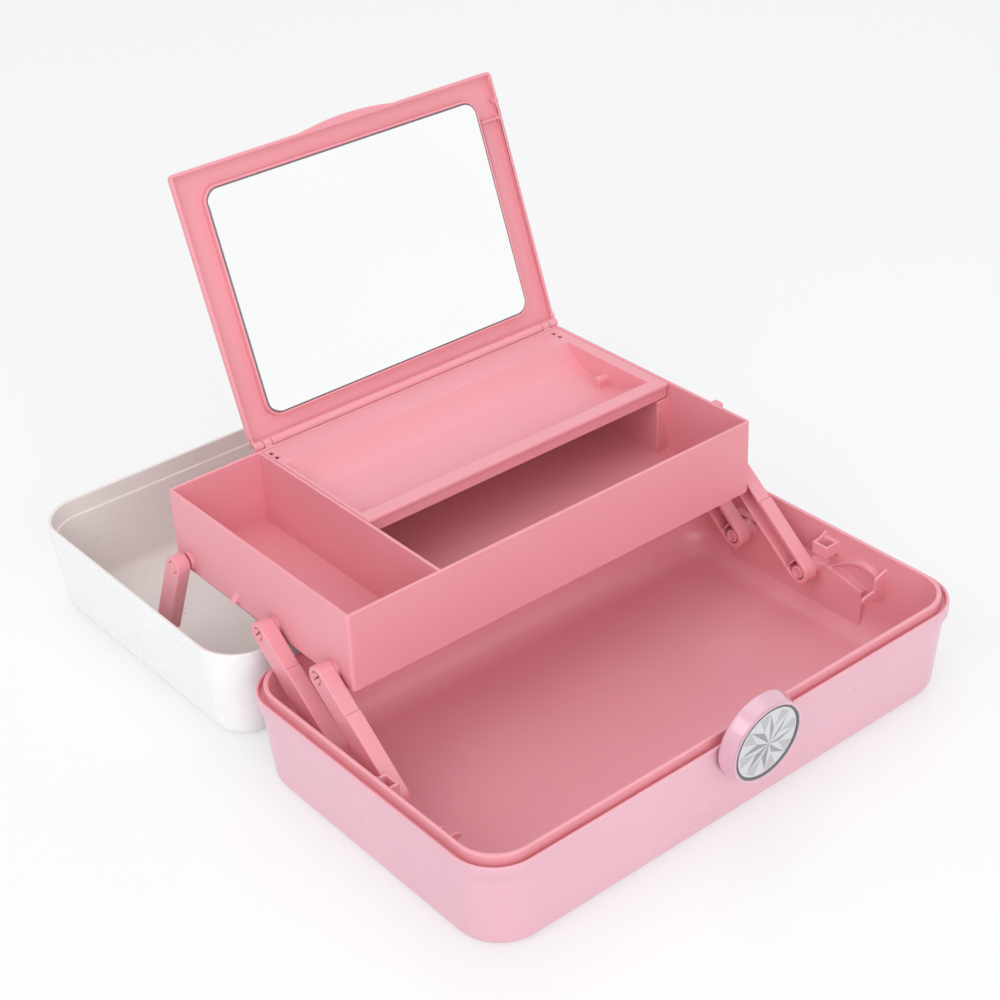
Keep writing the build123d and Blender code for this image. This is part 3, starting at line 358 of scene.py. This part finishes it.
knob = (0.0, -0.113, 0.0525)
lid_axis = (0.0, 0.1056, 0.0565)
disc_rings, pin_rings = 5200.0, 9000.0
lid_inside = flecked_inside()
glass = silvered_glass()
disc_metal = turned_metal("satin silver disc", (0.80, 0.81, 0.83), 0.30, knob, disc_rings)
# darker and grey copies of the disc silver, which paint shade onto some of the disc's facets
disc_painted_shade = turned_metal("silver facet with painted shade", (0.42, 0.43, 0.45), 0.22, knob, disc_rings)
disc_painted_half_shade = turned_metal("silver facet with painted half shade", (0.62, 0.63, 0.65), 0.26, knob, disc_rings)
steel = turned_metal("drawn steel", (0.60, 0.60, 0.62), 0.32, lid_axis, pin_rings)
# painted shade: a dark finish for the glass's bevel, standing in for the shaded gap round the
# mirror glass
glass_edge_painted_shade = plastic(
    "ground glass edge with painted shade", (0.17, 0.18, 0.19), (0.24, 0.25, 0.26),
    rough=0.3, grain=2400, drift=30, wear=0.1, soft=0.0,
)
dark_ring = plastic(
    "dark trim ring", (0.10, 0.095, 0.11), (0.13, 0.125, 0.14),
    rough=0.22, grain=2000, drift=30, wear=0.2, soft=0.0,
)

finishes = {
    "base_tub": rose_inside,
    "base_pivot_pins": rose,
    "lid_hinge_pins": steel,
    "latch_pin": steel,
    "lid_shell": lid_inside,
    "lid_link_pins": rose,
    "handle_pins": steel,
    "front_arm_right": rose,
    "front_arm_left": rose,
    "rear_arm_right": rose,
    "rear_arm_left": rose,
    "cantilever_tray": rose,
    "tray_pivot_pins": rose,
    "tray_shelf": rose,
    "mirror_hinge_pins": steel,
    "mirror_frame": rose,
    "mirror_glass": glass,
    "lid_link_right": rose,
    "lid_link_left": rose,
    "latch_body": rose_gloss,
    "latch_ring": dark_ring,
    "latch_disc": disc_metal,
    "carry_handle": rose_gloss,
}
for name, finish in finishes.items():
    mesh = nodes[name].data
    mesh.materials.clear()
    mesh.materials.append(finish)


# ---------------------------------------------------------------- rounded pieces
ROUND_TRIES = 12
SHARP = radians(34.0)
CAD_JOIN = 2e-6
ROUND_JOIN = 1e-6
ROOM = 1.5
SPIKE = 1.3


def merged(name):
    """A copy of a CAD piece's mesh with its points joined."""
    shape = bmesh.new()
    shape.from_mesh(nodes[name].data)
    bmesh.ops.remove_doubles(shape, verts=shape.verts, dist=CAD_JOIN)
    return shape


def finish_piece(shape, name, body, materials, smooth=38.0):
    """Turns a mesh under construction into a piece that rides a body."""
    mesh = bpy.data.meshes.new(name)
    shape.to_mesh(mesh)
    shape.free()
    for material in materials:
        mesh.materials.append(material)
    mesh.set_sharp_from_angle(angle=radians(smooth))
    piece = bpy.data.objects.new(name, mesh)
    scene.collection.objects.link(piece)
    even = piece.modifiers.new("even normals", "WEIGHTED_NORMAL")
    even.keep_sharp = True
    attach(piece, body)
    return piece


def runs_past(edge, spikes, reach):
    """True where an edge comes nearer than reach to a place where rounding failed."""
    start, end = (vert.co for vert in edge.verts)
    line = end - start
    for spike in spikes:
        share = (spike - start).dot(line) / max(line.length_squared, 1e-12)
        if (start + line * max(0.0, min(1.0, share)) - spike).length < reach:
            return True
    return False


def rounded(name, width, plain=None):
    """A merged copy with its sharp edges rounded, but for those that plain names or that
    have no room: the copy is made again without each edge that gave a spike."""
    first = merged(name)
    guard = BVHTree.FromBMesh(first)
    spikes = []
    for attempt in range(ROUND_TRIES):
        shape = first.copy()
        edges = [
            edge for edge in shape.edges
            if len(edge.link_faces) == 2 and edge.calc_face_angle(0.0) > SHARP
            and not (plain and plain(edge)) and not runs_past(edge, spikes, ROOM * width)
        ]
        bmesh.ops.bevel(
            shape, geom=edges, offset=width, offset_type="OFFSET", affect="EDGES",
            segments=3, profile=0.5, clamp_overlap=False, material=-1,
        )
        bmesh.ops.remove_doubles(shape, verts=shape.verts, dist=ROUND_JOIN)
        nearest = [guard.find_nearest(vert.co) for vert in shape.verts]
        found = [near[0] for near in nearest if near[3] > SPIKE * width]
        if not found or attempt == ROUND_TRIES - 1:
            break
        spikes += found
        shape.free()
    first.free()
    return shape


def outer_skin(face, middle, half, corner, top, slope, foot):
    """True for a face on the outside of a tapered shell with a rounded plan."""
    spot, normal = face.calc_center_median(), face.normal
    x, y = abs(spot.x), abs(spot.y - middle)
    over = Vector((max(x - half[0] + corner, 0.0), max(y - half[1] + corner, 0.0)))
    depth = over.length - corner + max(top - spot.z, 0.0) * slope
    inset = foot - sqrt(max(foot ** 2 - (foot - spot.z) ** 2, 0.0)) if spot.z < foot else 0.0
    away = Vector((spot.x, spot.y - middle, 0.0))
    if over.length > 0:
        turn_y = 1 if spot.y > middle else -1
        away = Vector((over.x * (1 if spot.x > 0 else -1), over.y * turn_y, 0.0))
    out = normal.dot(away.normalized()) > 0.25 or normal.z < -0.25
    return out and (depth > -0.0014 - inset or spot.z < 0.0008)


owners = frame["record"]["behaviour"]["bodies"]
bodies = {node: body for body, owned in owners.items() for node in owned}
widths = {
    "cantilever_tray": 0.0005, "tray_shelf": 0.0005, "mirror_frame": 0.0007,
    "front_arm_left": 0.0007, "front_arm_right": 0.0007, "rear_arm_left": 0.0007,
    "rear_arm_right": 0.0007, "lid_link_left": 0.0006, "lid_link_right": 0.0006,
    "latch_body": 0.0012, "carry_handle": 0.0010,
}
for name, width in widths.items():
    piece = finish_piece(
        rounded(name, width), name + "_rounded", bodies[name], [finishes[name]]
    )
    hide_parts(name)


def in_well(face, well, middle):
    """True for a face in the well of the folding handle: half width, half depth, height."""
    spot = face.calc_center_median()
    return abs(spot.x) < well[0] and abs(spot.y - middle) < well[1] and spot.z < well[2]


def two_tone(name, width, outside, plain=None, well=None, **form):
    """A shell whose outside, and the well in it, have a finish of their own."""
    shape = rounded(name, width, plain)
    shape.normal_update()
    for face in shape.faces:
        outer = outer_skin(face, **form) or (well and in_well(face, well, form["middle"]))
        face.material_index = int(bool(outer))
    piece = finish_piece(shape, name + "_rounded", bodies[name], [finishes[name], outside])
    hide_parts(name)


BAND_FOOT = 0.0477


def at_band(edge):
    """The small step under the rim band of the base, which has no room to be rounded."""
    return all(abs(vert.co.z - BAND_FOOT) < 0.0004 for vert in edge.verts)


two_tone(
    "base_tub", 0.0007, mauve_shell, at_band, middle=0.0, half=(0.1647, 0.1007),
    corner=0.0305, top=BAND_FOOT, slope=0.0875, foot=0.0065,
)
two_tone(
    "lid_shell", 0.0006, pearl_outside, well=(0.0668, 0.0238, 0.0068), middle=0.2112,
    half=(0.165, 0.101), corner=0.026, top=0.0585, slope=0.0963, foot=0.009,
)


def edged_glass():
    """The mirror glass with a narrow ground bevel, coloured dark grey as painted shade for the
    shaded gap round the glass.
    """
    shape = merged("mirror_glass")
    shape.normal_update()

    def front_area(face):
        return face.calc_area() * (1 if face.normal.y < 0 else 0.5)

    facing = max(shape.faces, key=front_area).normal.copy()
    level = [face for face in shape.faces if face.normal.dot(facing) > 0.9999]
    rim = [
        edge for edge in shape.edges
        if sum(face in level for face in edge.link_faces) == 1
    ]
    bmesh.ops.bevel(
        shape, geom=rim, offset=0.0006, offset_type="OFFSET", affect="EDGES",
        segments=1, profile=0.5, clamp_overlap=False, material=-1,
    )
    shape.normal_update()
    # the bevel faces take the dark painted-shade finish
    for face in shape.faces:
        face.material_index = 0 if face.normal.dot(facing) > 0.99 else 1
    piece = finish_piece(
        shape, "mirror_glass_edged", bodies["mirror_glass"], [glass, glass_edge_painted_shade]
    )
    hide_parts("mirror_glass")


edged_glass()


def close_bay():
    """Upper edge of the narrow bay wall on the tray's right, up to the shelf's skin."""
    thick, x = 0.0016, 0.1266
    profile = (
        (0.0991, 0.0987), (0.0991, 0.1060), (0.1160, 0.1060),
        (0.1218, 0.1025), (0.1290, 0.0996), (0.1310, 0.0987),
    )
    shape = bmesh.new()
    near = [shape.verts.new((x, y, z)) for y, z in profile]
    far = [shape.verts.new((x + thick, y, z)) for y, z in profile]
    shape.faces.new(near)
    shape.faces.new(list(reversed(far)))
    for i in range(len(profile)):
        j = (i + 1) % len(profile)
        shape.faces.new((near[j], near[i], far[i], far[j]))
    bmesh.ops.recalc_face_normals(shape, faces=shape.faces)
    finish_piece(shape, "bay_wall_top", bodies["cantilever_tray"], [rose])


close_bay()


def faceted_disc():
    """The latch disc with a cut relief: pointed facets round a raised middle. Its facets carry
    painted shade: one side of each point is dark silver, and half the facets between the points
    are grey silver.
    """
    low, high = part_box("latch_disc")
    tilt = radians(5.2)
    out = Vector((0.0, -cos(tilt), -sin(tilt)))
    up = Vector((0.0, -sin(tilt), cos(tilt)))
    side = Vector((1.0, 0.0, 0.0))
    middle = (Vector(low) + Vector(high)) / 2 + out * 0.0007
    points, parts, radius = 8, 6, (high[0] - low[0]) / 2
    around = points * parts
    shape = bmesh.new()

    def ring(share, rise, count, turn=0.0):
        made = []
        reach = radius * share
        for i in range(count):
            angle = 2 * pi * (i + turn) / count
            spot = middle + side * (reach * cos(angle)) + up * (reach * sin(angle))
            made.append(shape.verts.new(spot + out * rise))
        return made

    back = ring(1.0, -0.0013, around)
    edge = ring(1.0, 0.0, around)
    flat = ring(0.93, 0.0001, around)
    tips = ring(0.90, 0.0001, points)
    necks = ring(0.42, 0.0002, points, 0.5)
    peak = shape.verts.new(middle + out * 0.0011)
    shape.faces.new(list(reversed(back)))
    for i in range(around):
        j = (i + 1) % around
        shape.faces.new((back[i], back[j], edge[j], edge[i]))
        shape.faces.new((edge[i], edge[j], flat[j], flat[i]))
    for i in range(points):
        before, after = necks[i - 1], necks[i]
        # painted shade: one side of each point takes the dark silver
        shape.faces.new((peak, before, tips[i])).material_index = 1
        shape.faces.new((peak, tips[i], after))
        span = [flat[k % around] for k in range(parts * i, parts * (i + 1) + 1)]
        last = tips[(i + 1) % points]
        shape.faces.new((after, tips[i], span[0]))
        for k in range(parts):
            facet = shape.faces.new((after, span[k], span[k + 1]))
            # painted half shade: half the facets of each span take the grey silver, the rest the
            # plain silver
            facet.material_index = 2 if k < parts / 2 else 0
        shape.faces.new((after, span[parts], last))
    shape.normal_update()
    piece = finish_piece(
        shape, "latch_disc_faceted", bodies["latch_disc"],
        [disc_metal, disc_painted_shade, disc_painted_half_shade], smooth=8.0,
    )
    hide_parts("latch_disc")


faceted_disc()


# ---------------------------------------------------------------- floor, backdrop, light
def lay_floor():
    """Pale flat floor, white to the camera but for the shadow."""
    made, tree, shader = new_material("studio floor")
    tree.nodes.remove(shader)
    out = tree.nodes["Material Output"]
    matt = put(tree, "ShaderNodeBsdfDiffuse", Color=(0.90, 0.905, 0.92, 1.0))
    white = put(tree, "ShaderNodeEmission", Color=(1.0, 1.0, 1.0, 1.0), Strength=1.0)
    path = put(tree, "ShaderNodeLightPath")
    seen = sums(tree, "MAXIMUM", path.outputs["Is Camera Ray"], path.outputs["Is Glossy Ray"])
    mix = put(tree, "ShaderNodeMixShader")
    tree.links.new(sums(tree, "MULTIPLY", seen, 0.55), mix.inputs[0])
    tree.links.new(matt.outputs[0], mix.inputs[1])
    tree.links.new(white.outputs[0], mix.inputs[2])
    sheen = put(tree, "ShaderNodeBsdfGlossy", Color=(1.0, 1.0, 1.0, 1.0), Roughness=0.22)
    edge = put(tree, "ShaderNodeFresnel", IOR=1.35)
    polish = put(tree, "ShaderNodeMixShader")
    tree.links.new(edge.outputs[0], polish.inputs[0])
    tree.links.new(mix.outputs[0], polish.inputs[1])
    tree.links.new(sheen.outputs[0], polish.inputs[2])
    tree.links.new(polish.outputs[0], out.inputs[0])
    shape = bmesh.new()
    bmesh.ops.create_grid(shape, x_segments=1, y_segments=1, size=6.0)
    mesh = bpy.data.meshes.new("studio_floor")
    shape.to_mesh(mesh)
    shape.free()
    floor = bpy.data.objects.new("studio_floor", mesh)
    scene.collection.objects.link(floor)
    mesh.materials.append(made)
    floor.location.z = -0.0002


def light_studio():
    world = bpy.data.worlds.new("studio")
    scene.world = world
    world.use_nodes = True
    tree = world.node_tree
    sky = tree.nodes["Background"]
    sky.inputs["Color"].default_value = (1.0, 1.0, 1.0, 1.0)
    path = put(tree, "ShaderNodeLightPath")
    shown = sums(tree, "MAXIMUM", path.outputs["Is Camera Ray"], path.outputs["Is Glossy Ray"])
    shown = sums(tree, "MAXIMUM", shown, path.outputs["Is Transmission Ray"])
    strength = ramp(tree, shown, 0.0, 1.0, 0.66, 1.0)
    tree.links.new(strength, sky.inputs["Strength"])

    def softbox(name, place, aim, size, power, colour=(1, 1, 1)):
        lamp = bpy.data.lights.new(name, "AREA")
        lamp.shape = "RECTANGLE"
        lamp.size, lamp.size_y = size
        lamp.energy = power
        lamp.color = colour
        box = bpy.data.objects.new(name, lamp)
        scene.collection.objects.link(box)
        toward = Vector(aim) - Vector(place)
        turned = toward.to_track_quat("-Z", "Y").to_matrix().to_4x4()
        box.matrix_world = Matrix.Translation(place) @ turned

    softbox("key_left", (-1.5, -0.35, 1.5), (0.0, 0.08, 0.06), (1.2, 1.2), 9.5)
    softbox("fill_top", (0.3, 0.5, 2.0), (0.0, 0.1, 0.0), (1.6, 1.6), 7.0)
    softbox("front_fill", (-0.6, -1.7, 0.9), (0.03, 0.12, 0.07), (1.4, 1.0), 12.0)


lay_floor()
light_studio()
